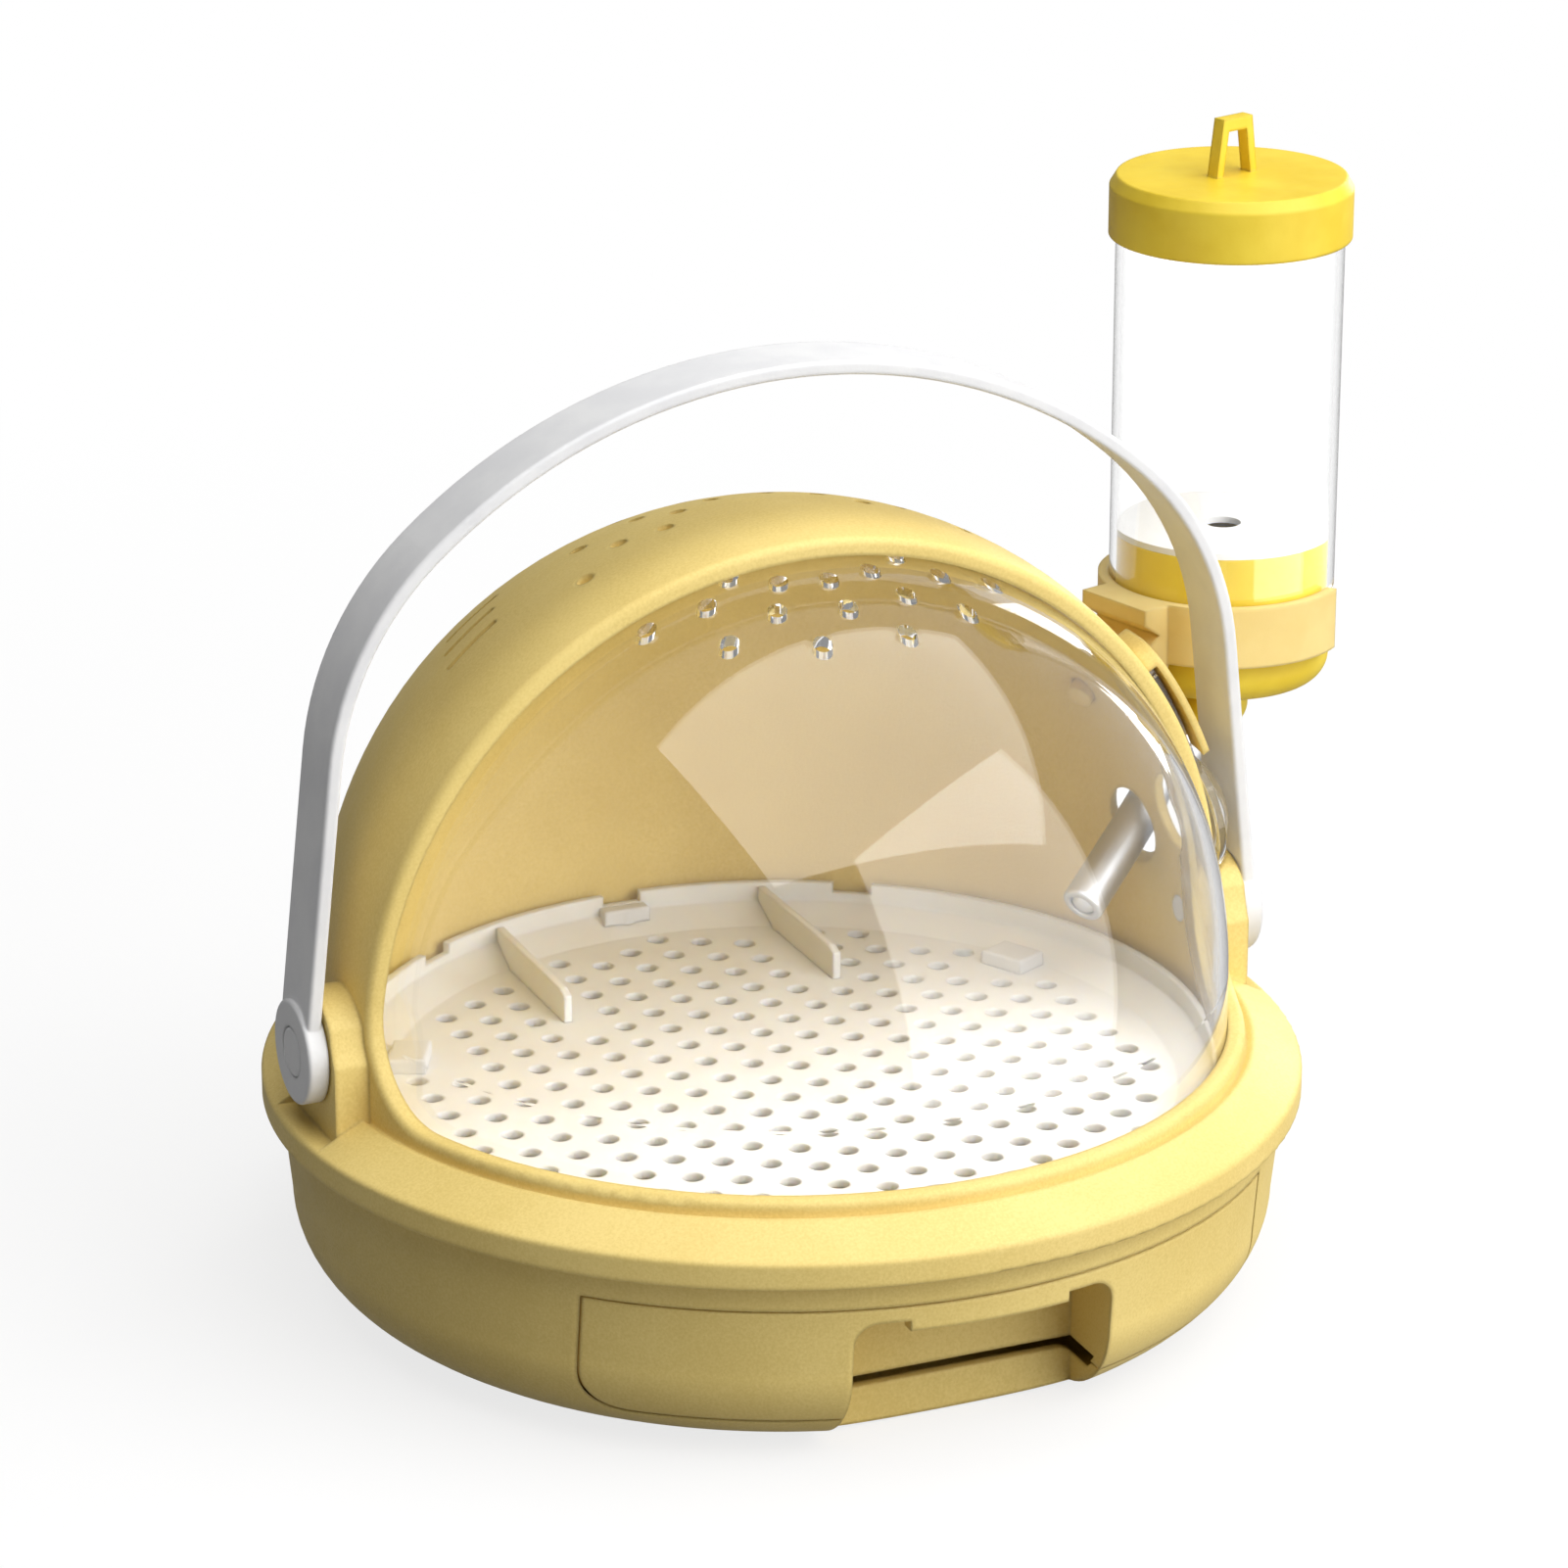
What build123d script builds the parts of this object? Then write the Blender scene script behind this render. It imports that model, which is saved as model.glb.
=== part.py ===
from build123d import *
from math import asin, atan2, ceil, cos, degrees, hypot, radians, sin, sqrt
import os

# Small pet carrier: a round tub with a pull-out waste drawer, a perforated floor, a domed cover
# with a clear front window, a swinging strap handle, a side feeding port and a water bottle
# whose steel drinking tube reaches through the cover.
# Millimetres. +Z is up, the drawer and the window face -Y, and the origin is on the ground
# under the middle of the tub.

# Tub. Its height to the rim sets every height above it, and its radius sets the dome's.
tub_height = 45.2
tub_bottom_radius = 80.0
tub_corner_width = 24.3
tub_corner_height = 21.0
tub_flare = 2.5
tub_wall = 2.5
runner_width = 5.0
runner_inset = 13.5

# Cover rim
rim_overhang = 3.2
rim_gap = 0.5
rim_drop = 3.4
rim_edge_rise = 2.3
rim_shelf = 12.15
rim_slope_width = 10.5
rim_slope_height = 5.4
rim_band_wall = 2.6

# Dome
dome_rise = 23.3
dome_wall = 2.5
lip_wall = 3.6
lip_width = 4.5
lip_rise = 10.3
lip_round = 1.5
lip_groove_depth = 1.2
arch_offset = 11.0
arch_lean = 3.0
arch_corner = 20.0
window_wall = 2.0
window_gap = 0.2
window_seat = 4.2

# Ventilation holes: ring radius, hole angles either side of the front
vent_radius = 2.0
window_vents = [(24.0, [0, 25, 50]), (33.6, [0, 25, 50]), (43.0, [12.5, 37.5, 62.5])]
shell_vents = [(24.0, [112.5, 139, 165]), (33.6, [110, 139, 165]), (42.5, [94, 121, 148, 175])]
shell_vent_radius = 1.75
slit_length = 14.0
slit_width = 1.5
slit_places = [14.5, 22.5, 30.5]
slit_elevation = 48.6

# Floor and what fixes it
floor_drop = 2.7
floor_gap = 2.2
floor_thickness = 2.0
floor_wall = 1.8
floor_wall_rise = 7.8
floor_slope_width = 9.3
floor_slope_height = 3.5
floor_hole_radius = 2.3
floor_hole_pitch = 9.92
floor_hole_margin = 1.6
floor_notch_width = 9.0
floor_notch_depth = 2.4
divider_spacing = 64.0
divider_thickness = 1.8
divider_height = 7.0
divider_front = 43.0
divider_sink = 1.0
clip_angles = [26.2, 153.8]
clip_length = 11.0
clip_width = 8.4
clip_height = 3.2
clip_stem = 4.0
rear_clip_width = 3.6
rear_clip_height = 5.4
ledge_width = 9.0
ledge_thickness = 2.2

# Waste drawer
drawer_width = 151.0
drawer_low = 8.9
drawer_drop = 2.7
drawer_corner = 10.0
drawer_gap = 0.4
drawer_wall = 2.0
drawer_front_wall = 3.0
drawer_back_gap = 8.3
drawer_lift = 2.1
recess_width = 56.6
recess_depth = 21.8
recess_lobe_width = 11.0
recess_drop = 3.6
recess_step = 2.3
recess_wall = 2.2
recess_round = 5.0

# Handle
pivot_rise = 19.6
pivot_pin_radius = 3.0
pin_head_radius = 5.2
pin_head_height = 1.2
pin_clearance = 0.08
handle_reach = 11.2
handle_clearance = 33.8
handle_crown_radius = 121.0
handle_crown_angle = 41.3
handle_leg_lean = 6.3
handle_width = 16.5
handle_thickness = 3.0
paddle_radius = 11.0
paddle_thickness = 4.3
tower_margin = 1.9
tower_gap = 0.4
notch_rise = 0.5

# Side port
port_azimuth = -1.0
port_elevation = 12.0
port_pin_elevation = 32.0
port_hole_radius = 9.0
port_cover_radius = 14.0
port_cover_gap = 0.35
port_cover_wall = 1.6
port_lens_radius = 12.5
port_lens_height = 4.8
port_tongue_width = 9.0
port_pin_radius = 1.6
hood_wall = 1.6
hood_reach_up = 9.0
hood_reach_down = 19.0
hood_front = 10.3
hood_back = 9.5
hood_gap = 0.5

# Bottle. It stands beside the dome, and its heights count from the dome's middle.
bottle_azimuth = 16.03
bottle_reach = 27.7
tube_radius = 24.8
tube_wall = 1.5
tube_length = 87.0
plug_step = 0.8
plug_rise = 36.0
plug_height = 22.0
plug_round = 6.0
spigot_height = 11.7
plug_seal_height = 1.4
bracket_height = 13.5
bracket_overlap = 1.5
bracket_wall = 2.4
bracket_gap = 0.1
bracket_opening = 132.0
bracket_arm_width = 20.0
bracket_arm_gap = 0.3
bracket_foot = 9.0
peg_radius = 3.0
peg_length = 6.0
peg_drop = 3.0
cap_skirt = 9.0
cap_wall = 1.3
cap_top = 3.3
cap_bevel_height = 2.5
cap_bevel_width = 1.5
cap_gap = 0.3
cap_seal_height = 1.2
cap_seal_width = 3.0
loop_height = 12.6
loop_base = 12.0
loop_top = 8.4
loop_bar = 2.0
loop_thickness = 3.0

# Drinking tube, on a line from the bottle's axis through the cover to its tip
spout_drop = 6.4
drink_azimuth = 210.9
drink_slope = 30.75
drink_radius = 4.75
drink_wall = 0.9
drink_start = 4.0
drink_end = 63.0
drink_hole_gap = 2.75
spout_wall = 1.85
spout_end = 15.0
ball_radius = 3.4
ball_gap = 0.1
mouth_radius = 2.9


def tub_radius(height):
    """Outer radius of the tub at a height."""
    side = tub_bottom_radius + tub_corner_width
    if height >= tub_corner_height:
        return side + tub_flare * (height - tub_corner_height) / (tub_height - tub_corner_height)
    drop = 1 - height / tub_corner_height
    return tub_bottom_radius + tub_corner_width * sqrt(1 - drop * drop)


# Places and sizes that follow from the ones above
rim_band_bottom = tub_height - rim_drop
rim_edge_height = tub_height + rim_edge_rise
rim_radius = tub_radius(rim_band_bottom) + rim_overhang + rim_gap
dome_radius = rim_radius - rim_shelf
dome_centre_height = tub_height + dome_rise
dome_centre = (0, 0, dome_centre_height)
inner_radius = dome_radius - dome_wall
window_radius = dome_radius - lip_wall - window_gap
lip_height = tub_height + lip_rise
floor_height = tub_height - floor_drop
floor_radius = inner_radius - floor_gap
floor_wall_height = floor_height + floor_wall_rise
floor_slope_start = floor_radius - floor_slope_width
ledge_top = floor_height - floor_thickness
ledge_low = ledge_top - ledge_thickness
drawer_high = ledge_low - drawer_drop
drawer_floor = drawer_low + drawer_lift
drawer_rim = drawer_high - drawer_wall
drawer_back_radius = tub_bottom_radius + tub_corner_width - drawer_back_gap
recess_back = tub_bottom_radius + tub_corner_width - recess_depth
recess_high = drawer_high - recess_drop
runner_spacing = drawer_width - 2 * runner_inset
pivot_height = tub_height + pivot_rise
tower_radius = paddle_radius + tower_margin
notch_floor = rim_edge_height + notch_rise
handle_foot = dome_radius + handle_reach
handle_top = dome_centre_height + dome_radius + handle_clearance
bottle_x = (dome_radius + bottle_reach) * cos(radians(bottle_azimuth))
bottle_y = (dome_radius + bottle_reach) * sin(radians(bottle_azimuth))
plug_bottom = dome_centre_height + plug_rise
tube_bottom = plug_bottom + plug_height
tube_top = tube_bottom + tube_length
plug_top = tube_bottom + spigot_height
bracket_high = tube_bottom + bracket_overlap
bracket_low = bracket_high - bracket_height
cap_radius = tube_radius + cap_gap + cap_wall
cap_low = tube_top - cap_skirt
cap_high = tube_top + cap_seal_height + cap_top
plug_radius = tube_radius - plug_step
spout_height = plug_bottom - spout_drop
spout_radius = drink_radius + spout_wall


def tub_solid(inset, top):
    """The tub's outer form, drawn in by inset and cut off at a height."""
    bottom = inset
    side = tub_bottom_radius + tub_corner_width - inset
    rim = tub_radius(tub_height) - inset
    corner = EllipticalCenterArc(
        (tub_bottom_radius, tub_corner_height),
        tub_corner_width - inset,
        tub_corner_height - inset,
        start_angle=270,
        arc_size=90,
    )
    slope = (rim - side) / (tub_height - tub_corner_height)
    end = rim + slope * (top - tub_height)
    edges = [
        Line((0, bottom), (tub_bottom_radius, bottom)),
        corner,
        Line((side, tub_corner_height), (end, top)),
        Line((end, top), (0, top)),
        Line((0, top), (0, bottom)),
    ]
    return revolve(Plane.XZ * make_face(edges), Axis.Z, 360)


def upright(radius, low, high, x=0.0, y=0.0):
    """An upright cylinder between two heights."""
    return Pos(x, y, (low + high) / 2) * Cylinder(radius, high - low)


def tube(outer, inner, low, high, x=0.0, y=0.0):
    """An upright tube between two heights."""
    return upright(outer, low, high, x, y) - upright(inner, low - 1, high + 1, x, y)


def block(x0, x1, y0, y1, z0, z1):
    """A box between two corners."""
    centre = Pos((x0 + x1) / 2, (y0 + y1) / 2, (z0 + z1) / 2)
    return centre * Box(x1 - x0, y1 - y0, z1 - z0)


def ball(radius, centre):
    return Pos(*centre) * Sphere(radius)


def drawer_prism(gap, y0, y1):
    """The outline of the drawer's front, square at the top and rounded below."""
    half = drawer_width / 2 - gap
    low = drawer_low + gap
    high = drawer_high - gap
    face = Pos(0, (low + high) / 2) * Rectangle(2 * half, high - low)
    face = fillet(face.vertices().group_by(Axis.Y)[0], drawer_corner - gap)
    return extrude(Plane.XZ.offset(-y1) * face, y1 - y0)


def recess_prism(grow, high, y0, y1, low=-1.0):
    """The finger recess seen from the front, cut off at a height."""
    half = recess_width / 2 + grow
    face = Pos(0, (low + high) / 2) * Rectangle(2 * half, high - low)
    face = fillet(face.vertices().group_by(Axis.Y)[-1], recess_round)
    return extrude(Plane.XZ.offset(-y1) * face, y1 - y0)


def make_tub():
    shell = tub_solid(0, tub_height)
    hollow = tub_solid(tub_wall, tub_height + 1)
    back = -recess_back + recess_wall
    housing = recess_prism(recess_wall, drawer_low - drawer_gap, -rim_radius, back)
    hollow -= housing
    shell -= hollow
    shell -= drawer_prism(0, -rim_radius, -drawer_width / 4)
    shell -= recess_prism(0, drawer_low + drawer_gap + recess_round, -rim_radius, -recess_back)

    # Ledge for the floor, with a lug under each clip, above the drawer
    inside = tub_solid(tub_wall / 2, tub_height)
    ledge = tube(rim_radius, floor_radius - ledge_width, ledge_low, ledge_top) & inside
    for angle in clip_angles:
        reach = floor_slope_start - 1.5 * clip_width
        lug = block(reach, floor_radius, -clip_width, clip_width, ledge_low, ledge_top)
        ledge += (Rot(0, 0, angle) * lug) & inside
    for x, y in stem_places():
        ledge -= upright(clip_stem / 2, ledge_low - 1, ledge_top + 1, x, y)
    shell += ledge

    # Two runners that carry the drawer
    for side in (-1, 1):
        middle = side * runner_spacing / 2
        half_run = sqrt(tub_bottom_radius**2 - (runner_spacing / 2) ** 2)
        runner = block(
            middle - runner_width / 2, middle + runner_width / 2,
            -half_run, half_run, tub_wall / 2, drawer_floor - drawer_gap,
        )
        shell += runner
    return shell


def make_drawer():
    panel = tub_solid(0, tub_height) - tub_solid(drawer_front_wall, tub_height + 1)
    panel &= drawer_prism(drawer_gap, -rim_radius, -drawer_width / 4)

    # Tray behind the panel: straight sides that pass the opening and a round back
    edge = drawer_gap + drawer_wall / 2
    half = drawer_width / 2 - edge - drawer_wall
    round_back = block(-rim_radius, rim_radius, -rim_radius, 0, 0, tub_height)
    outside = tub_solid(drawer_front_wall / 2, tub_height)
    outside &= drawer_prism(edge, -rim_radius, rim_radius)
    outside &= block(-rim_radius, rim_radius, -rim_radius, rim_radius, drawer_floor, drawer_rim)
    outside &= round_back + upright(drawer_back_radius, 0, tub_height)
    inside = drawer_prism(edge + drawer_wall, -rim_radius, rim_radius)
    inside += block(-half, half, -rim_radius, rim_radius, drawer_rim / 2, tub_height)
    inside &= block(
        -half, half, -rim_radius, rim_radius, drawer_floor + drawer_wall, tub_height
    )
    inside &= round_back + upright(drawer_back_radius - drawer_wall, 0, tub_height)
    inside &= tub_solid(drawer_front_wall, tub_height)
    inside -= recess_prism(
        recess_wall, recess_high + drawer_wall, -rim_radius, -recess_back + recess_wall
    )
    drawer = panel + (outside - inside)

    # Finger recess: open below, with a lip that dips between the two lobes
    pocket = recess_prism(0, recess_high, -rim_radius, -recess_back)
    lobe = recess_width / 2 - recess_lobe_width
    lip = block(
        -lobe, lobe, -rim_radius, -recess_back, recess_high - recess_step, recess_high + 1
    )
    lip &= tub_solid(0, tub_height) - tub_solid(drawer_front_wall, tub_height + 1)
    drawer -= pocket - lip
    return drawer


def arch_prism(grow):
    """The window's opening seen from the side, as a solid across the whole dome."""
    far = 3 * dome_radius
    lean = far * sin(radians(arch_lean)) / cos(radians(arch_lean))
    points = [
        (-far, lip_height), (-arch_offset, lip_height), (-arch_offset - lean, lip_height + far),
        (-far, lip_height + far),
    ]
    face = make_face(Polyline(*points, close=True))
    corner = face.vertices().sort_by_distance((-arch_offset, lip_height))[0]
    face = fillet(corner, arch_corner)
    if grow:
        face = offset(face, grow, kind=Kind.ARC)
    return extrude(Plane.YZ.offset(-far) * face, 2 * far)


def dome_solid(radius, low):
    """A dome on an upright wall that starts at a height."""
    top = ball(radius, dome_centre) & upright(radius + 1, dome_centre_height, 2 * dome_radius + low)
    return top + upright(radius, low, dome_centre_height)


def radial(elevation, azimuth):
    """A frame at the dome's centre whose Z axis points out of the dome, and Y up along it."""
    return Pos(*dome_centre) * Rot(0, 0, azimuth) * Rot(0, -elevation, 0) * Rot(0, 90, 0) * Rot(0, 0, 90)


def port_swing():
    """The room that the port's cover sweeps when it turns about its pin."""
    plate_out = port_sizes()[1]
    span = radians(port_pin_elevation - port_elevation) + asin(port_cover_radius / plate_out)
    room = Cylinder(plate_out * sin(span) + 0.6, dome_radius)
    return radial(port_pin_elevation, port_azimuth) * Pos(0, 0, dome_radius) * room


def port_band(inner, outer):
    """The space between two spheres round the dome's centre."""
    return ball(outer, dome_centre) - ball(inner, dome_centre)


def spout_way():
    """The drinking tube's direction, down and into the dome."""
    level = cos(radians(drink_slope))
    turn = radians(drink_azimuth)
    return Vector(level * cos(turn), level * sin(turn), -sin(radians(drink_slope)))


def spout_frame():
    """A frame on the bottle's axis whose Z axis runs down the drinking tube."""
    start = Vector(bottle_x, bottle_y, spout_height)
    return Location(Plane(origin=start, z_dir=spout_way()))


def dome_crossing():
    """How far down the drinking tube its middle line meets the dome."""
    start = Vector(bottle_x, bottle_y, spout_height - dome_centre_height)
    along = -start.dot(spout_way())
    return along - sqrt(dome_radius**2 - start.dot(start) + along * along)


def make_cover():
    # Rim: a band that hangs round the tub, and a top that slopes up to the dome
    slope_inner = rim_radius - rim_slope_width
    slope_top = rim_edge_height + rim_slope_height
    band = FilletPolyline(
        (inner_radius, dome_centre_height), (inner_radius, tub_height),
        (rim_radius - rim_band_wall, tub_height), (rim_radius - rim_band_wall, rim_band_bottom),
        (rim_radius, rim_band_bottom), (rim_radius, rim_edge_height), (slope_inner, slope_top),
        (dome_radius, slope_top - lip_groove_depth), (dome_radius, dome_centre_height),
        radius=[0.3, 0.5, 0.5, 0.8, 0.9, 0.6, 0.3],
    )
    outer = CenterArc((0, dome_centre_height), dome_radius, 0, 90)
    inner = CenterArc((0, dome_centre_height), inner_radius, 0, 90)
    crown = Line(outer @ 1, inner @ 1)
    cover = revolve(Plane.XZ * make_face([band, outer, crown, inner]), Axis.Z, 360)

    # A thicker lip inside the edge of the window's opening
    lip = dome_solid(dome_radius - dome_wall / 2, lip_height - 2 * lip_round)
    lip -= dome_solid(dome_radius - lip_wall, tub_height - 1)
    cover += lip & arch_prism(lip_width)
    cover -= arch_prism(0) & dome_solid(dome_radius + 1, tub_height - 1)
    edges = [
        edge for edge in cover.edges()
        if all(on_arch(edge @ t) for t in (0.1, 0.35, 0.65, 0.9))
    ]
    cover = fillet(edges, lip_round)

    # Towers that carry the handle's pins
    paddle_face = handle_foot - paddle_thickness
    for side in (-1, 1):
        tower = Pos(0, 0, pivot_height) * Rot(0, 90, 0) * Cylinder(tower_radius, 2 * rim_radius)
        tower += block(-rim_radius, rim_radius, -tower_radius, tower_radius, rim_edge_height, pivot_height)
        x0, x1 = sorted((side * (inner_radius + dome_wall / 2), side * (paddle_face - tower_gap)))
        tower &= block(x0, x1, -rim_radius, rim_radius, 0, 2 * dome_radius)
        cover += tower - arch_prism(lip_round + 0.4) - port_swing()
        x0, x1 = sorted((side * (paddle_face - tower_gap), side * (rim_radius + 1)))
        cover -= block(x0, x1, -tower_radius, tower_radius, notch_floor, 2 * dome_radius)
    cover -= Pos(0, 0, pivot_height) * Rot(0, 90, 0) * Cylinder(pivot_pin_radius, 3 * rim_radius)

    # Ventilation holes and slits, upright as the mould opens
    for ring, angles in shell_vents:
        for angle in angles:
            for side in (-1, 1):
                x = side * ring * sin(radians(angle))
                y = -ring * cos(radians(angle))
                cover -= upright(shell_vent_radius, dome_centre_height, 3 * dome_radius, x, y)
    rise = dome_radius * sin(radians(slit_elevation))
    for y in slit_places:
        x = sqrt(dome_radius**2 - y**2 - rise**2)
        for side in (-1, 1):
            slit = Box(4 * dome_wall, slit_width, slit_length)
            turn = Rot(0, -side * slit_elevation, 0)
            cover -= Pos(side * x, y, dome_centre_height + rise) * turn * slit

    # Feeding port, its pin's hole, and the holes for the drinking tube and the bracket's peg
    port = radial(port_elevation, port_azimuth)
    cover -= port * Pos(0, 0, dome_radius) * Cylinder(port_hole_radius, 4 * dome_wall)
    pin = radial(port_pin_elevation, port_azimuth)
    cover -= pin * Pos(0, 0, dome_radius) * Cylinder(port_pin_radius, 4 * dome_wall)
    hole = Cylinder(drink_radius + drink_hole_gap, 8 * dome_wall)
    cover -= spout_frame() * Pos(0, 0, dome_crossing()) * hole
    cover -= peg_place() * Cylinder(peg_radius + bracket_arm_gap, 2 * peg_length + 1)
    return cover


def on_arch(point):
    """True on the edge where the window's opening meets the dome's outside."""
    rise = max(0.0, point.Z - dome_centre_height)
    off = hypot(hypot(point.X, point.Y), rise)
    lean = sin(radians(arch_lean)) / cos(radians(arch_lean))
    back = -arch_offset - lean * (point.Z - lip_height)
    near_back = abs(point.Y - back) < 0.05
    near_low = abs(point.Z - lip_height) < 0.05 and point.Y < -arch_offset - 5
    in_corner = point.Z < lip_height + arch_corner and back - arch_corner < point.Y < back
    surface = abs(off - dome_radius) < 0.05
    return surface and point.Z > lip_height - 0.1 and (near_back or near_low or in_corner)


def make_window():
    window = dome_solid(window_radius, lip_height - window_seat)
    window -= dome_solid(window_radius - window_wall, lip_height - window_seat - 1)
    window &= arch_prism(lip_width)
    for ring, angles in window_vents:
        for angle in angles:
            for side in ((-1, 1) if angle else (1,)):
                x = side * ring * sin(radians(angle))
                y = -ring * cos(radians(angle))
                window -= upright(vent_radius, dome_centre_height, 3 * dome_radius, x, y)
    port = radial(port_elevation, port_azimuth) * Pos(0, 0, dome_radius)
    window -= port * Cylinder(port_hole_radius + port_cover_gap, 8 * dome_wall)
    return window


def floor_form():
    """The floor before its holes: a plate with a sloping edge and an upright wall."""
    low = floor_height - floor_thickness
    inner = floor_radius - floor_wall
    slope_top = floor_height + floor_slope_height
    outline = Polyline(
        (0, low), (floor_radius, low), (floor_radius, floor_wall_height),
        (inner, floor_wall_height), (inner, slope_top), (floor_slope_start, floor_height),
        (0, floor_height), close=True,
    )
    return revolve(Plane.XZ * make_face(outline), Axis.Z, 360)


def clip_places():
    """Where the side clips stand, at the foot of the floor's slope."""
    reach = floor_slope_start - clip_width / 2
    return [(reach * cos(radians(angle)), reach * sin(radians(angle))) for angle in clip_angles]


def stem_places():
    """Where the clips' stems pass through the floor."""
    rear = floor_radius - floor_wall - rear_clip_width / 2
    return clip_places() + [(0.0, rear)]


def make_floor():
    low = floor_height - floor_thickness
    inner = floor_radius - floor_wall
    floor = floor_form()

    # Staggered holes, left out under the dividers and the clips and past the sloping edge
    row = floor_hole_pitch * sqrt(3) / 2
    reach = floor_slope_start - floor_hole_radius - floor_hole_margin / 2
    count = ceil(floor_radius / row)
    holes = []
    for i in range(-count, count + 1):
        x = (i + 0.5) * row
        for j in range(-count, count + 1):
            y = (j + (i % 2) / 2) * floor_hole_pitch + 1.0
            if hypot(x, y) > reach or blocked(x, y):
                continue
            holes.append(Pos(x, y, low - 1))
    drill = extrude(Circle(floor_hole_radius), floor_thickness + 2)
    floor -= [place * drill for place in holes]
    for x, y in stem_places():
        floor -= upright(clip_stem / 2, low - 1, floor_wall_height, x, y)

    # Notches in the edge wall, at the back and either side of it
    for angle in (-33.5, 0, 33.5):
        notch = block(
            -floor_notch_width / 2, floor_notch_width / 2, inner - 1, floor_radius + 1,
            floor_wall_height - floor_notch_depth, floor_wall_height + 1,
        )
        floor -= Rot(0, 0, angle) * notch

    # Slots that the dividers' feet press into
    for side in (-1, 1):
        floor -= divider_foot(side)
    return floor


def blocked(x, y):
    """True where a divider or a clip covers the floor."""
    keep = floor_hole_radius + floor_hole_margin
    beside = abs(abs(x) - divider_spacing / 2) < divider_thickness / 2 + keep
    if beside and y > divider_front - keep:
        return True
    return any(hypot(x - cx, y - cy) < clip_length / 2 + keep for cx, cy in clip_places())


def divider_foot(side):
    """The part of a divider that stands in the floor."""
    x = side * divider_spacing / 2
    half = divider_thickness / 2
    back = sqrt(floor_slope_start**2 - (abs(x) + half) ** 2)
    return block(x - half, x + half, divider_front, back, floor_height - divider_sink, floor_height)


def make_divider(side):
    x = side * divider_spacing / 2
    half = divider_thickness / 2
    inner = floor_radius - floor_wall
    back = sqrt((inner - 0.2) ** 2 - (abs(x) + half) ** 2)
    foot_back = sqrt(floor_slope_start**2 - (abs(x) + half) ** 2)
    top = floor_height + divider_height
    slope_top = floor_height + floor_slope_height
    outline = Polyline(
        (divider_front, floor_height), (divider_front, top - 1), (divider_front + 3, top),
        (back, top), (back, slope_top + 0.6), (foot_back, floor_height + 0.3),
        (foot_back, floor_height), close=True,
    )
    plate = extrude(Plane.YZ.offset(x - half) * make_face(outline), divider_thickness)
    return plate + divider_foot(side)


def make_clips():
    clips = []
    for x, y in stem_places():
        rear = (x, y) not in clip_places()
        half = (rear_clip_width if rear else clip_width) / 2
        high = floor_height + (rear_clip_height if rear else clip_height)
        head = block(-half, half, -clip_length / 2, clip_length / 2, floor_height, high)
        head = fillet(head.faces().sort_by(Axis.Z)[-1].edges(), 0.6)
        stem = upright(clip_stem / 2, ledge_low - 1.2, high - 1)
        barb = upright(clip_stem / 2 + 0.5, ledge_low - 1.2, ledge_low)
        place = Pos(x, y, 0) * Rot(0, 0, degrees(atan2(y, x)))
        clips.append((place * head - floor_form()) + place * stem + place * barb)
    return clips


def handle_face(thickness):
    """Half of the strap seen from the front, from the crown down to the pivot."""
    turn1 = radians(handle_crown_angle)
    turn2 = radians(90 - handle_leg_lean)
    crown = handle_crown_radius
    crown_z = handle_top - crown
    p1 = (crown * sin(turn1), crown_z + crown * cos(turn1))

    # Shoulder radius that makes the straight leg end at the foot
    lean = radians(handle_leg_lean)
    dx = sin(turn2) - sin(turn1)
    dz = cos(turn2) - cos(turn1)
    shoulder = (handle_foot - p1[0] - (p1[1] - pivot_height) * sin(lean) / cos(lean)) / (
        dx + dz * sin(lean) / cos(lean)
    )
    centre2 = (p1[0] - shoulder * sin(turn1), p1[1] - shoulder * cos(turn1))
    p2 = (centre2[0] + shoulder * sin(turn2), centre2[1] + shoulder * cos(turn2))
    foot = (handle_foot, pivot_height)

    def inward(point, turn):
        return (point[0] - thickness * sin(turn), point[1] - thickness * cos(turn))

    top_in = (0, handle_top - thickness)
    p1_in = inward(p1, turn1)
    p2_in = inward(p2, turn2)
    foot_in = inward(foot, turn2)
    edges = [
        TangentArc((0, handle_top), p1, tangent=(1, 0)),
        TangentArc(p1, p2, tangent=(cos(turn1), -sin(turn1))),
        Line(p2, foot),
        Line(foot, foot_in),
        Line(foot_in, p2_in),
        TangentArc(top_in, p1_in, tangent=(1, 0)),
        TangentArc(p1_in, p2_in, tangent=(cos(turn1), -sin(turn1))),
        Line(top_in, (0, handle_top)),
    ]
    return Plane.XZ * make_face(edges)


def make_handle():
    half = extrude(handle_face(handle_thickness), handle_width / 2, both=True)
    half &= block(0, 2 * rim_radius, -rim_radius, rim_radius, pivot_height, 2 * handle_top)
    strap = half + mirror(half, Plane.YZ)
    long_edges = [
        edge for edge in strap.edges()
        if all(abs(abs((edge @ t).Y) - handle_width / 2) < 0.01 for t in (0, 0.5, 1))
    ]
    strap = fillet([e for e in long_edges if e.length > 2 * handle_thickness], 0.7)
    for side in (-1, 1):
        x = side * (handle_foot - paddle_thickness / 2)
        place = Pos(x, 0, pivot_height) * Rot(0, side * 90, 0)
        paddle = Cylinder(paddle_radius, paddle_thickness)
        outer = paddle.faces().sort_by(Axis.Z)[-1].edges()
        paddle = fillet(outer, 0.7)
        strap += place * paddle
        strap -= place * Cylinder(pivot_pin_radius + pin_clearance, 3 * paddle_thickness)
        seat = Pos(0, 0, paddle_thickness / 2) * Cylinder(
            pin_head_radius + 0.3, 2 * (pin_head_height + 0.15)
        )
        strap -= place * seat
    return strap


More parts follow.
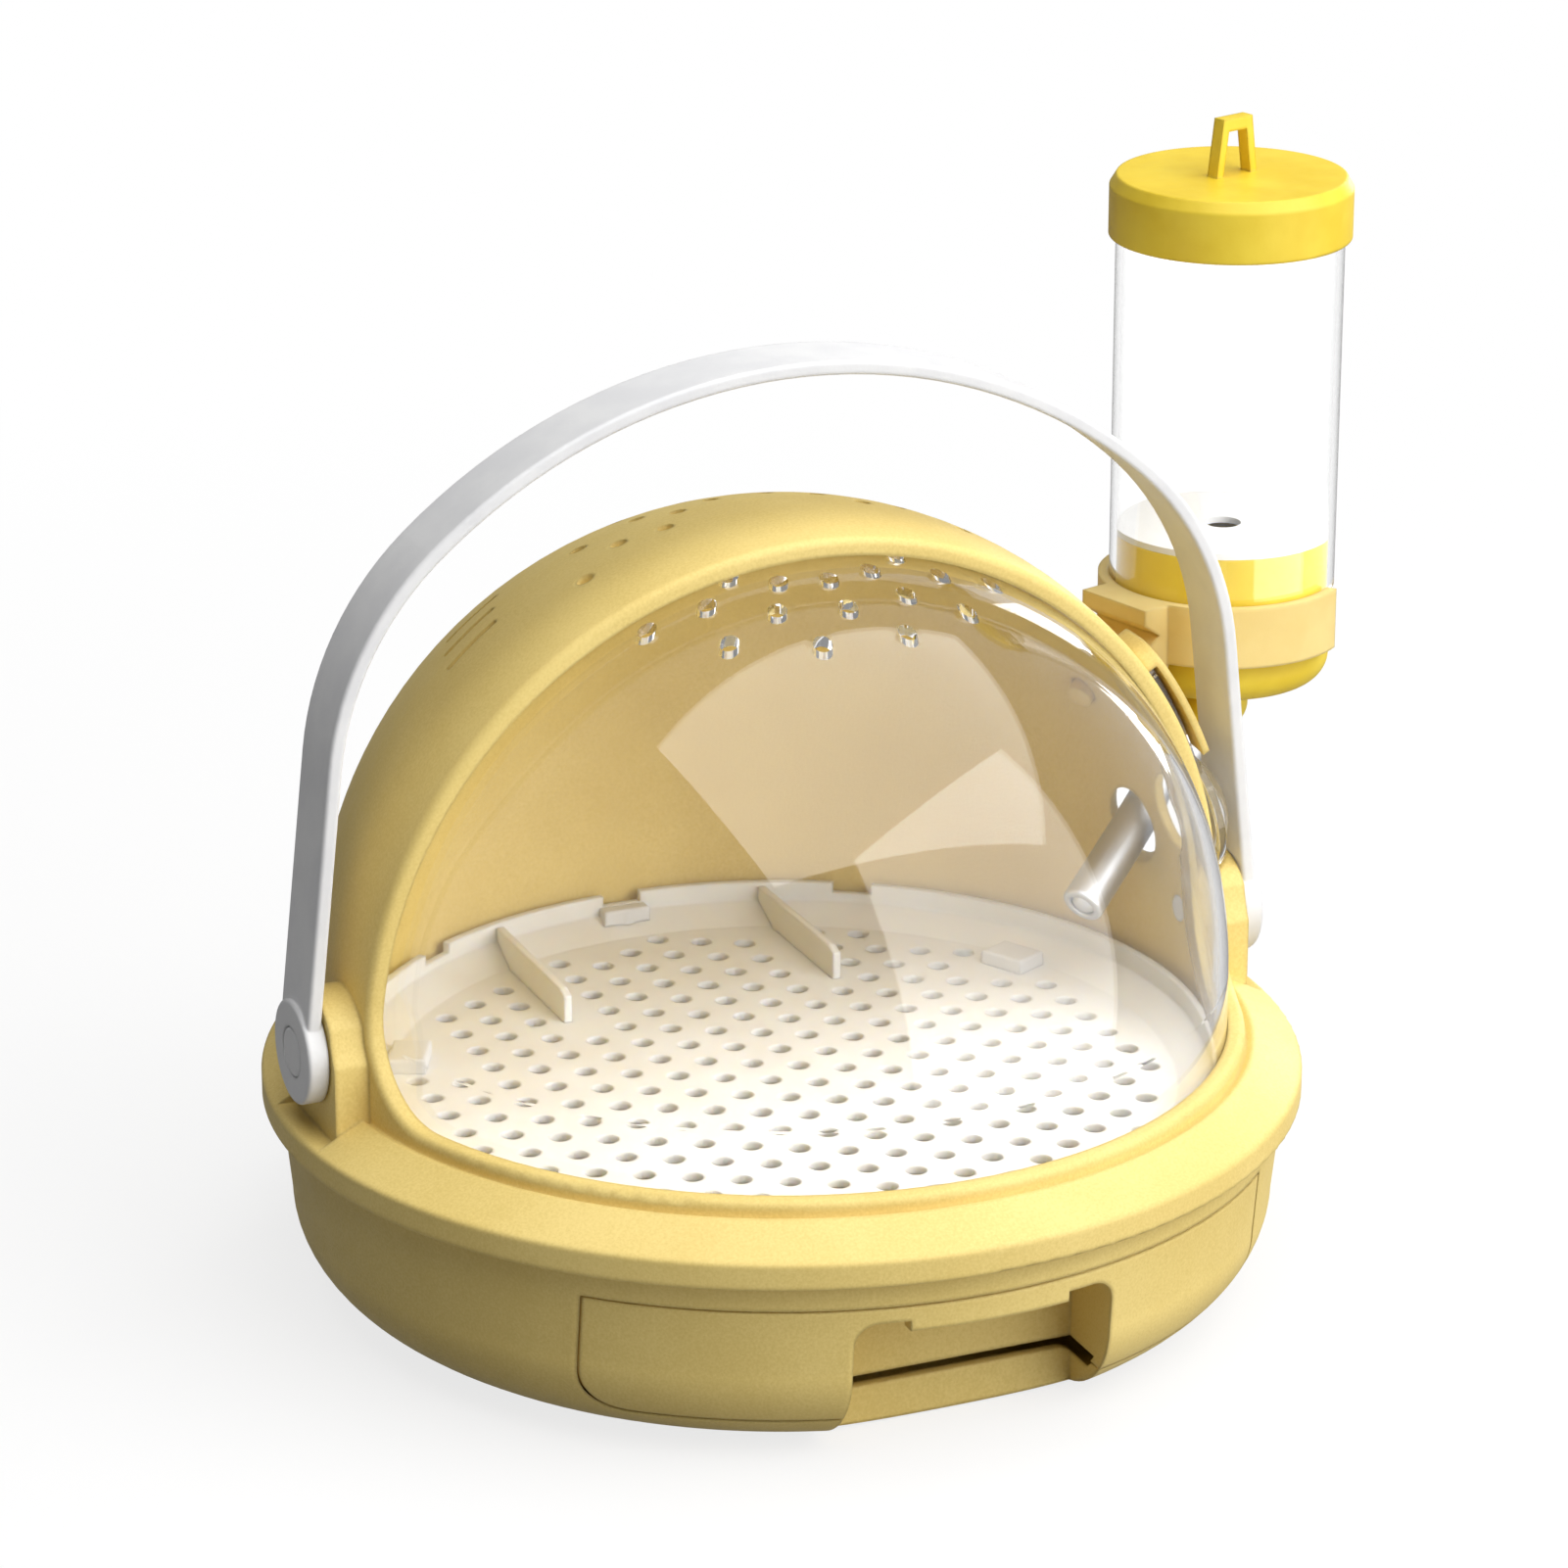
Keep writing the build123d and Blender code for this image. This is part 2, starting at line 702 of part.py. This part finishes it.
def make_pins():
    pins = []
    for side in (-1, 1):
        length = handle_foot - pin_head_height - inner_radius
        shaft = Pos(0, 0, inner_radius + length / 2) * Cylinder(pivot_pin_radius, length)
        head = Pos(0, 0, handle_foot - pin_head_height / 2) * Cylinder(pin_head_radius, pin_head_height)
        head = fillet(head.faces().sort_by(Axis.Z)[-1].edges(), 0.4)
        pins.append(Pos(0, 0, pivot_height) * Rot(0, side * 90, 0) * (shaft + head))
    return pins


def port_sizes():
    """Radii of the port cover's plate, its lens and the hood over it."""
    plate_in = dome_radius + port_cover_gap
    plate_out = plate_in + port_cover_wall
    hood_out = plate_out + port_cover_gap + hood_wall
    return plate_in, plate_out, hood_out


def arc_angle(length):
    """The angle that a length along the dome takes up."""
    return degrees(length / dome_radius)


def make_hood():
    plate_in, plate_out, hood_out = port_sizes()
    pin = radial(port_pin_elevation, port_azimuth)
    width = hood_front + hood_back
    height = hood_reach_up + hood_reach_down
    outline = Pos((hood_back - hood_front) / 2, (hood_reach_up - hood_reach_down) / 2) * Rectangle(
        width, height
    )
    outline = fillet(outline.vertices().group_by(Axis.Y)[-1], hood_reach_up * 0.8)
    hood = pin * Pos(0, 0, dome_radius / 2) * extrude(outline, dome_radius)
    hood &= port_band(dome_radius, hood_out)

    # Pocket for the tongue: open at the front and below
    pocket_radius = port_tongue_width / 2 + hood_gap
    pocket = Rectangle(2 * hood_front, 2 * hood_reach_down)
    pocket = Pos(pocket_radius - hood_front, pocket_radius - hood_reach_down) * pocket
    pocket = fillet(pocket.vertices().group_by(Axis.Y)[-1].sort_by(Axis.X)[-1], pocket_radius * 0.9)
    room = pin * Pos(0, 0, dome_radius / 2) * extrude(pocket, dome_radius)
    room &= port_band(dome_radius - 1, plate_out + port_cover_gap)
    hood -= room
    hood -= pin * Pos(0, 0, dome_radius) * Cylinder(port_pin_radius, 6 * dome_wall)
    return hood


def make_port_pin():
    plate_in, plate_out, hood_out = port_sizes()
    pin = radial(port_pin_elevation, port_azimuth)
    low = inner_radius - 0.8
    shaft = Pos(0, 0, (low + hood_out) / 2) * Cylinder(port_pin_radius, hood_out - low)
    head = Pos(0, 0, hood_out + 0.5) * Cylinder(port_pin_radius + 1.0, 1.0)
    head = fillet(head.faces().sort_by(Axis.Z)[-1].edges(), 0.4)
    tail = Pos(0, 0, low + 0.3) * Cylinder(port_pin_radius + 0.8, 0.8)
    return pin * (shaft + head + tail)


def make_port_cover():
    plate_in, plate_out, hood_out = port_sizes()
    lens = radial(port_elevation, port_azimuth)
    pin = radial(port_pin_elevation, port_azimuth)

    # Round plate with a shallow hollow lens over the port's hole, turned about its own middle
    apex = plate_out + port_lens_height
    rise = apex - sqrt(plate_out**2 - port_lens_radius**2)
    curve = (port_lens_radius**2 + rise**2) / (2 * rise)
    low = apex - curve
    hollow = curve - port_cover_wall
    foot_z = (plate_in**2 - hollow**2 + low**2) / (2 * low)
    foot = (sqrt(plate_in**2 - foot_z**2), foot_z)
    base = (port_lens_radius, sqrt(plate_out**2 - port_lens_radius**2))
    rim_out = (port_cover_radius, sqrt(plate_out**2 - port_cover_radius**2))
    rim_in = (port_cover_radius, sqrt(plate_in**2 - port_cover_radius**2))
    edges = [
        RadiusArc((0, apex), base, curve),
        RadiusArc(base, rim_out, plate_out),
        Line(rim_out, rim_in),
        RadiusArc(rim_in, foot, -plate_in),
        RadiusArc(foot, (0, apex - port_cover_wall), -hollow),
        Line((0, apex - port_cover_wall), (0, apex)),
    ]
    cover = lens * revolve(Plane.XZ * make_face(edges), Axis.Z, 360)

    # Tongue up to the pin, with a round end
    run = radians(port_pin_elevation - port_elevation) * dome_radius
    start = port_cover_radius - 1.0
    middle = port_elevation + arc_angle((start + run) / 2)
    bar = radial(middle, port_azimuth) * Pos(0, 0, dome_radius)
    tongue = bar * Box(port_tongue_width, run - start, dome_radius / 2)
    tongue += pin * Pos(0, 0, dome_radius) * Cylinder(port_tongue_width / 2, dome_radius / 2)
    cover += tongue & port_band(plate_in, plate_out)
    cover -= pin * Pos(0, 0, dome_radius) * Cylinder(port_pin_radius + pin_clearance, 6 * dome_wall)
    return cover


def at_bottle():
    """A frame on the bottle's axis, at ground height, with X pointing away from the dome."""
    return Pos(bottle_x, bottle_y, 0) * Rot(0, 0, bottle_azimuth)


def peg_place():
    """Where the bracket's peg enters the dome, along the drinking tube's direction."""
    turn = radians(bottle_azimuth)
    height = bracket_low - peg_drop
    reach = sqrt(dome_radius**2 - (height - dome_centre_height) ** 2)
    seat = Vector(reach * cos(turn), reach * sin(turn), height)
    return Location(Plane(origin=seat, z_dir=spout_way()))


def make_bracket():
    inner = plug_radius + bracket_gap
    outer = tube_radius + bracket_wall
    ring = tube(outer, inner, bracket_low, bracket_high)
    ring += tube(outer, tube_radius + bracket_gap, tube_bottom, bracket_high)
    ring -= upright(tube_radius + bracket_gap, tube_bottom - bracket_gap, bracket_high + 1)
    half = radians(bracket_opening / 2)
    far = 3 * outer
    mouth = Polyline(
        (0, 0), (far * cos(half), far * sin(half)), (far, far), (far, -far),
        (far * cos(half), -far * sin(half)), close=True,
    )
    ring -= Pos(0, 0, bracket_low - 1) * extrude(make_face(mouth), bracket_high - bracket_low + 2)

    # Arm: a block from the ring to the dome, with a V notch under its top
    axis_reach = hypot(bottle_x, bottle_y)
    shoulder = -(outer + 5.0)
    notch = shoulder + 4.5
    low = bracket_low - bracket_foot
    arm = Polyline(
        (-inner - 0.6, bracket_high), (shoulder, bracket_high), (shoulder, bracket_high - 3.5),
        (notch, bracket_high - 6.5), (shoulder, bracket_high - 9.5),
        (-axis_reach / 2, bracket_high - 9.5), (-axis_reach / 2, low), (-outer, low),
        (-inner - 0.6, bracket_low), close=True,
    )
    width = bracket_arm_width
    bar = extrude(Plane.XZ.offset(-width / 2) * make_face(arm), width)
    bar -= upright(inner, low - 1, bracket_high + 1)
    bar -= upright(tube_radius + bracket_gap, tube_bottom - bracket_gap, bracket_high + 1)
    bracket = at_bottle() * (ring + bar)
    bracket -= ball(dome_radius + bracket_arm_gap, dome_centre)
    peg = peg_place() * Pos(0, 0, -1) * Cylinder(peg_radius, 2 * peg_length)
    return bracket + peg


def make_plug():
    body = upright(plug_radius, plug_bottom, tube_bottom)
    body = fillet(body.faces().sort_by(Axis.Z)[0].edges(), plug_round)
    spigot = upright(tube_radius - tube_wall - bracket_gap, tube_bottom - 1, plug_top)
    funnel = upright(plug_radius - 4.0, plug_bottom + 4.0, plug_top + 1)
    body = body + spigot - funnel
    body = Pos(bottle_x, bottle_y, 0) * body
    frame = spout_frame()
    neck = upright(spout_radius, spout_height, plug_bottom + 3.0, bottle_x, bottle_y)
    elbow = ball(spout_radius, (bottle_x, bottle_y, spout_height))
    spout = frame * Pos(0, 0, spout_end / 2) * Cylinder(spout_radius, spout_end)
    body += neck + elbow + spout
    bore = drink_radius - drink_wall
    body -= upright(bore, spout_height, plug_bottom + 5.0, bottle_x, bottle_y)
    body -= frame * Pos(0, 0, drink_start / 2) * Cylinder(bore, drink_start)
    length = spout_end + 1 - drink_start
    body -= frame * Pos(0, 0, drink_start + length / 2) * Cylinder(drink_radius, length)
    return body


def make_plug_seal():
    outer = tube_radius - tube_wall - bracket_gap
    return tube(outer, 4.0, plug_top, plug_top + plug_seal_height, bottle_x, bottle_y)


def make_bottle_tube():
    return tube(tube_radius, tube_radius - tube_wall, tube_bottom, tube_top, bottle_x, bottle_y)


def make_cap_seal():
    inner = tube_radius - cap_seal_width
    return tube(tube_radius, inner, tube_top, tube_top + cap_seal_height, bottle_x, bottle_y)


def make_cap():
    under = tube_top + cap_seal_height
    bevel = cap_high - cap_bevel_height
    outline = Polyline(
        (0, under), (tube_radius + cap_gap, under), (tube_radius + cap_gap, cap_low),
        (cap_radius, cap_low), (cap_radius, bevel), (cap_radius - cap_bevel_width, cap_high),
        (0, cap_high), close=True,
    )
    cap = revolve(Plane.XZ * make_face(outline), Axis.Z, 360)
    soft = [
        edge for edge in cap.edges()
        if edge.geom_type == GeomType.CIRCLE
        and (edge.radius > tube_radius + cap_gap + 0.1 or edge.center().Z > cap_high - 0.1)
    ]
    cap = fillet(soft, 0.4)
    cap = at_bottle() * cap

    # Hanger loop, shaped like a letter A without its bar, in line with the dome
    outer = Polyline(
        (-loop_base / 2, -0.5), (loop_base / 2, -0.5), (loop_top / 2, loop_height),
        (-loop_top / 2, loop_height), close=True,
    )
    slant = (loop_base - loop_top) / 2 / loop_height
    inner_top = loop_height - 1.4 * loop_bar
    half_low = loop_base / 2 - loop_bar
    half_high = half_low - slant * inner_top
    inner = Polyline(
        (-half_low, 0), (half_low, 0), (half_high, inner_top), (-half_high, inner_top), close=True
    )
    face = make_face(outer) - make_face(inner)
    loop = extrude(Plane.XZ.offset(-loop_thickness / 2) * face, loop_thickness)
    return cap + at_bottle() * Pos(0, 0, cap_high) * loop


def make_drinking_tube():
    bore = drink_radius - drink_wall
    outline = FilletPolyline(
        (bore, drink_start), (drink_radius, drink_start), (drink_radius, drink_end),
        (mouth_radius, drink_end), (mouth_radius, drink_end - drink_wall),
        (bore, drink_end - drink_wall),
        radius=[0.2, 0.8, 0.2, 0.2],
    )
    closing = Line((bore, drink_end - drink_wall), (bore, drink_start))
    pipe = revolve(Plane.XZ * make_face([outline, closing]), Axis.Z, 360)
    return spout_frame() * pipe


def make_ball():
    seat = sqrt(ball_radius**2 - mouth_radius**2)
    return spout_frame() * Pos(0, 0, drink_end - drink_wall - seat - ball_gap) * Sphere(ball_radius)


def save(name, shape):
    """Writes a node's solids to its file."""
    parts = shape if isinstance(shape, list) else [shape]
    solids = [Solid(solid.wrapped) for part in parts for solid in part.solids()]
    export_step(Compound(children=solids), f"parts/{name}.step")


os.makedirs("parts", exist_ok=True)
save("base_tub", make_tub())
save("waste_drawer", make_drawer())
save("floor_tray", make_floor())
save("divider_left", make_divider(-1))
save("divider_right", make_divider(1))
save("floor_clips", make_clips())
save("cover_shell", make_cover())
save("window", make_window())
save("handle", make_handle())
save("handle_pins", make_pins())
save("port_hood", make_hood())
save("port_pin", make_port_pin())
save("port_cover", make_port_cover())
save("bottle_bracket", make_bracket())
save("bottle_plug", make_plug())
save("plug_seal", make_plug_seal())
save("bottle_tube", make_bottle_tube())
save("cap_seal", make_cap_seal())
save("bottle_cap", make_cap())
save("drinking_tube", make_drinking_tube())
save("valve_ball", make_ball())
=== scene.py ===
from math import radians
import bpy
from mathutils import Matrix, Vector

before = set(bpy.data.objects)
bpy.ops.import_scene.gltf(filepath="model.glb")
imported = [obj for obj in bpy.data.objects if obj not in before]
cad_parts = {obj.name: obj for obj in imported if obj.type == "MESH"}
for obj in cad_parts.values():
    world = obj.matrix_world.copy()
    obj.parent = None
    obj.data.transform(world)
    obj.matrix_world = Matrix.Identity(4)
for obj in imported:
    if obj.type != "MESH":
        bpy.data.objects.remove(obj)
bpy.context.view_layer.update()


# Tub, cover, drawer and port hood. All are moulded in one pale yellow plastic with a fine
# sand-blasted texture, matt but with a soft shine where the light grazes it. The cover drops over the
# tub's rim, and the drawer slides into the tub's front.

class Value:
    """A number carried between shader nodes. Python's own arithmetic signs add Math nodes to it."""

    def __init__(self, finish, socket):
        self.finish = finish
        self.socket = socket

    def maths(self, operation, first, second):
        return self.finish.node("ShaderNodeMath", {"operation": operation}, {0: first, 1: second})

    def __add__(self, other):
        return self.maths("ADD", self, other)

    __radd__ = __add__

    def __rsub__(self, other):
        return self.maths("SUBTRACT", other, self)

    def __mul__(self, other):
        return self.maths("MULTIPLY", self, other)

    __rmul__ = __mul__

    def __gt__(self, other):
        return self.maths("GREATER_THAN", self, other)

    def between(self, low, high):
        """0 at low, 1 at high, and smooth from one to the other."""
        settings = {"interpolation_type": "SMOOTHSTEP"}
        return self.finish.node("ShaderNodeMapRange", settings, {0: self, 1: low, 2: high})


class Finish:
    """A material, or the room's light, being mixed one shader node at a time."""

    def __init__(self, name, kind="materials"):
        self.material = getattr(bpy.data, kind).new(name)
        self.material.use_nodes = True
        self.nodes = self.material.node_tree.nodes
        self.links = self.material.node_tree.links
        self.nodes.clear()
        self.ending = "ShaderNodeOutputWorld" if kind == "worlds" else "ShaderNodeOutputMaterial"

    def node(self, kind, settings, inputs, output=0):
        """Adds a node: its settings first, then a value or a link for each socket it is given."""
        made = self.nodes.new(kind)
        for name, value in settings.items():
            setattr(made, name, value)
        for name, value in inputs.items():
            if isinstance(value, Value):
                self.links.new(value.socket, made.inputs[name])
            else:
                made.inputs[name].default_value = value
        return Value(self, made.outputs[output])

    def ray(self, kind):
        """1 for rays of a kind, such as those straight from the camera."""
        return self.node("ShaderNodeLightPath", {}, {}, kind)

    def fresh(self, kind):
        """1 for rays of a kind that no matt surface has scattered yet."""
        return self.ray(kind) * (1 - (self.ray("Diffuse Depth") > 0.5))

    def place(self):
        """Where a point lies on the object, in metres."""
        return self.node("ShaderNodeTexCoord", {}, {}, "Object")

    def grain(self, size, detail=2.0, where=None):
        """Cloudy noise from 0 to 1 with clouds of a size in metres."""
        inputs = {"Vector": where or self.place(), "Scale": 1 / size, "Detail": detail}
        return self.node("ShaderNodeTexNoise", {}, inputs)

    def tint(self, share, low, high):
        """A colour between two colours."""
        inputs = {0: share, 6: (*low, 1), 7: (*high, 1)}
        return self.node("ShaderNodeMix", {"data_type": "RGBA"}, inputs, 2)

    def bump(self, height, depth, strength, edge=0.001):
        """Fine relief, and edges shaded as if rounded to a radius. The mesh itself stays sharp."""
        rounded = self.node("ShaderNodeBevel", {"samples": 4}, {"Radius": edge})
        inputs = {"Height": height, "Distance": depth, "Strength": strength, "Normal": rounded}
        return self.node("ShaderNodeBump", {}, inputs)

    def coat(self, *names, **inputs):
        """Closes the mix with one plastic or metal shader, whose sockets are the keywords."""
        inputs = {name.replace("_", " "): value for name, value in inputs.items()}
        self.finish_with(self.node("ShaderNodeBsdfPrincipled", {}, inputs), *names)

    def finish_with(self, shader, *names):
        """Closes the mix with a shader and lays it on CAD pieces."""
        ending = self.nodes.new(self.ending)
        self.links.new(shader.socket, ending.inputs["Surface"])
        for name in names:
            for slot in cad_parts[name].material_slots:
                slot.material = self.material


shell = Finish("yellow_moulded_shell")
sand = shell.grain(0.0006, 1.0)
flow = shell.grain(0.035, 3.0)
shell_tone = shell.tint(
    (0.55 * flow + 0.45 * sand).between(0.3, 0.7), (0.80, 0.60, 0.19), (0.90, 0.70, 0.255)
)
shell.coat(
    "base_tub", "cover_shell", "waste_drawer", "port_hood",
    Base_Color=shell_tone,
    Roughness=0.42 + 0.16 * shell.grain(0.004),
    Specular_IOR_Level=0.34,
    IOR=1.48,
    Normal=shell.bump(sand, 0.00005, 0.6, 0.0015),
)


# Floor tray and its two dividers. They are thinner mouldings in a cream plastic, smoother than the
# shell, and the tray drops onto the tub's ledge.

cream = Finish("cream_floor_plastic")
cream_tone = cream.tint(
    cream.grain(0.02, 3.0).between(0.3, 0.7), (0.87, 0.84, 0.78), (0.92, 0.90, 0.85)
)
cream.coat(
    "floor_tray", "divider_left", "divider_right",
    Base_Color=cream_tone,
    Roughness=0.34 + 0.12 * cream.grain(0.003),
    Specular_IOR_Level=0.45,
    Subsurface_Weight=0.4,
    Subsurface_Radius=(1.0, 0.8, 0.5),
    Subsurface_Scale=0.003,
    Normal=cream.bump(cream.grain(0.0012), 0.00003, 0.5),
)


# Strap handle, its two pins and the three floor clips, all in white plastic. The strap is moulded
# flat with a faint grain along it, and it turns on the pins in the cover's towers.

white = Finish("white_strap_plastic")
white_tone = white.tint(
    white.grain(0.012, 3.0).between(0.3, 0.7), (0.80, 0.80, 0.81), (0.87, 0.87, 0.87)
)
white.coat(
    "handle", "handle_pins", "floor_clips",
    Base_Color=white_tone,
    Roughness=0.38 + 0.14 * white.grain(0.003),
    Specular_IOR_Level=0.45,
    Normal=white.bump(white.grain(0.0008), 0.00004, 0.6),
)


# Front window, feeding port cover and bottle tube. They are clear glossy plastic, and lamps shine
# straight through them. After a few bounces the plastic stops bending light, a shortcut that keeps
# its thin edges from turning black.

clear = Finish("clear_glossy_plastic")
glaze = clear.node(
    "ShaderNodeBsdfPrincipled", {},
    {
        "Base Color": (0.97, 0.97, 0.97, 1),
        "Roughness": 0.012 + 0.02 * clear.grain(0.05, 3.0),
        "IOR": 1.49,
        "Transmission Weight": 1.0,
    },
)
straight = clear.node("ShaderNodeBsdfTransparent", {}, {"Color": (0.95, 0.95, 0.95, 1)})
bent_bounces = 3
straight_share = clear.ray("Is Shadow Ray") + (clear.ray("Ray Depth") > bent_bounces)
clear.finish_with(
    clear.node("ShaderNodeMixShader", {}, {0: straight_share, 1: glaze, 2: straight}),
    "window", "port_cover", "bottle_tube",
)


# Bottle cap and plug, in a stronger yellow plastic with a satin face.

cap = Finish("strong_yellow_cap")
cap_tone = cap.tint(
    cap.grain(0.015, 3.0).between(0.3, 0.7), (0.84, 0.60, 0.035), (0.93, 0.70, 0.06)
)
cap.coat(
    "bottle_cap", "bottle_plug",
    Base_Color=cap_tone,
    Roughness=0.36 + 0.14 * cap.grain(0.003),
    Specular_IOR_Level=0.45,
    Normal=cap.bump(cap.grain(0.0007), 0.00004, 0.6),
)


# Bottle bracket, in a pale orange yellow plastic that lets a little light into its thin ring.

bracket = Finish("pale_orange_bracket")
bracket_tone = bracket.tint(
    bracket.grain(0.015, 3.0).between(0.3, 0.7), (0.88, 0.66, 0.24), (0.95, 0.74, 0.30)
)
bracket.coat(
    "bottle_bracket",
    Base_Color=bracket_tone,
    Roughness=0.4 + 0.12 * bracket.grain(0.003),
    Specular_IOR_Level=0.42,
    Subsurface_Weight=0.1,
    Subsurface_Radius=(1.0, 0.7, 0.3),
    Subsurface_Scale=0.002,
    Normal=bracket.bump(bracket.grain(0.0007), 0.00004, 0.6),
)


# The two sealing rings, in soft white rubber.

seal = Finish("soft_white_rubber")
seal.coat(
    "plug_seal", "cap_seal",
    Base_Color=seal.tint(seal.grain(0.004), (0.92, 0.92, 0.91), (0.97, 0.97, 0.96)),
    Roughness=0.7 + 0.1 * seal.grain(0.002),
    Specular_IOR_Level=0.3,
)


# Drinking tube, its ball and the feeding port's pin, in steel. The tube is drawn, so fine lines run
# along it.

steel = Finish("drawn_steel")
tube_slant = (0.0, 1.034, 0.539)
line_stretch = (1.0, 1.0, 30.0)
along_tube = steel.node(
    "ShaderNodeMapping", {"vector_type": "TEXTURE"},
    {"Vector": steel.place(), "Rotation": tube_slant, "Scale": line_stretch},
)
drawn_lines = steel.grain(0.0007, 3.0, along_tube)
steel.coat(
    "drinking_tube", "valve_ball", "port_pin",
    Base_Color=steel.tint(steel.grain(0.006, 3.0), (0.56, 0.57, 0.59), (0.68, 0.69, 0.71)),
    Metallic=1.0,
    Roughness=0.34 + 0.2 * drawn_lines,
    Normal=steel.bump(drawn_lines, 0.00002, 0.5),
)


# Studio: a pale floor that keeps a soft shadow and fades to white, a white room, three soft boxes
# and the camera. The floor doesn't show in reflections, so that the low box does.

floor_drop = 0.0002
bpy.ops.mesh.primitive_circle_add(
    vertices=96, radius=6, fill_type="NGON", location=(0, 0, -floor_drop)
)
ground = bpy.context.object
ground.name = "studio_floor"
paper = Finish("white_paper_floor")
seen = paper.ray("Is Camera Ray") + paper.fresh("Is Transmission Ray")
reach = paper.node("ShaderNodeVectorMath", {"operation": "LENGTH"}, {0: paper.place()}, "Value")
paper_tone = paper.tint(seen, (0.3, 0.3, 0.3), (0.95, 0.95, 0.95))
lit = paper.node("ShaderNodeBsdfDiffuse", {}, {"Color": paper_tone})
glow = paper.node("ShaderNodeEmission", {}, {"Color": (1, 1, 1, 1), "Strength": 1.0})
near_glow, far_glow = 0.78, 1.0
glow_share = seen * (near_glow + (far_glow - near_glow) * reach.between(0.2, 0.7))
sheet = paper.node("ShaderNodeMixShader", {}, {0: glow_share, 1: lit, 2: glow})
no_sheet = paper.node("ShaderNodeBsdfTransparent", {}, {})
paper.finish_with(
    paper.node("ShaderNodeMixShader", {}, {0: paper.ray("Is Glossy Ray"), 1: sheet, 2: no_sheet})
)
ground.data.materials.append(paper.material)

room = Finish("white_room", "worlds")
bpy.context.scene.world = room.material
ambient = 0.1
backdrop = room.ray("Is Camera Ray") + room.fresh("Is Transmission Ray")
strength = ambient + backdrop + 0.2 * room.fresh("Is Glossy Ray")
room_light = room.node("ShaderNodeBackground", {}, {"Color": (1, 1, 1, 1), "Strength": strength})
room.finish_with(room_light)

# Each soft box's name, place, turn in degrees, width and height in metres, and power in watts
middle = Vector((0, 0, 0.1))
soft_boxes = [
    ("ceiling_box", (0.35, -0.45, 1.6), -26, (2.7, 1.87), 36),
    ("side_box", (1.01, -1.31, 0.49), 0, (2.05, 2.48), 38),
    ("rear_box", (1.25, 0.93, 0.4), 0, (0.3, 0.8), 5),
]
for name, spot, turn, (width, height), power in soft_boxes:
    bpy.ops.object.light_add(type="AREA", location=spot)
    lamp = bpy.context.object
    lamp.name = name
    lamp.rotation_euler = (middle - Vector(spot)).to_track_quat("-Z", "Y").to_euler()
    lamp.rotation_euler.rotate_axis("Z", radians(turn))
    lamp.data.shape = "RECTANGLE"
    lamp.data.size = width
    lamp.data.size_y = height
    lamp.data.energy = power

camera_spot = Vector((-0.4545, -1.0465, 0.5227))
camera_aim = Vector((-0.0006, -0.0026, 0.1082))
bpy.ops.object.camera_add(location=camera_spot)
camera = bpy.context.object
camera.rotation_euler = (camera_aim - camera_spot).to_track_quat("-Z", "Y").to_euler()
camera.data.lens = 133.46
camera.data.sensor_width = 36
bpy.context.scene.camera = camera
bpy.context.scene.view_settings.view_transform = "Standard"
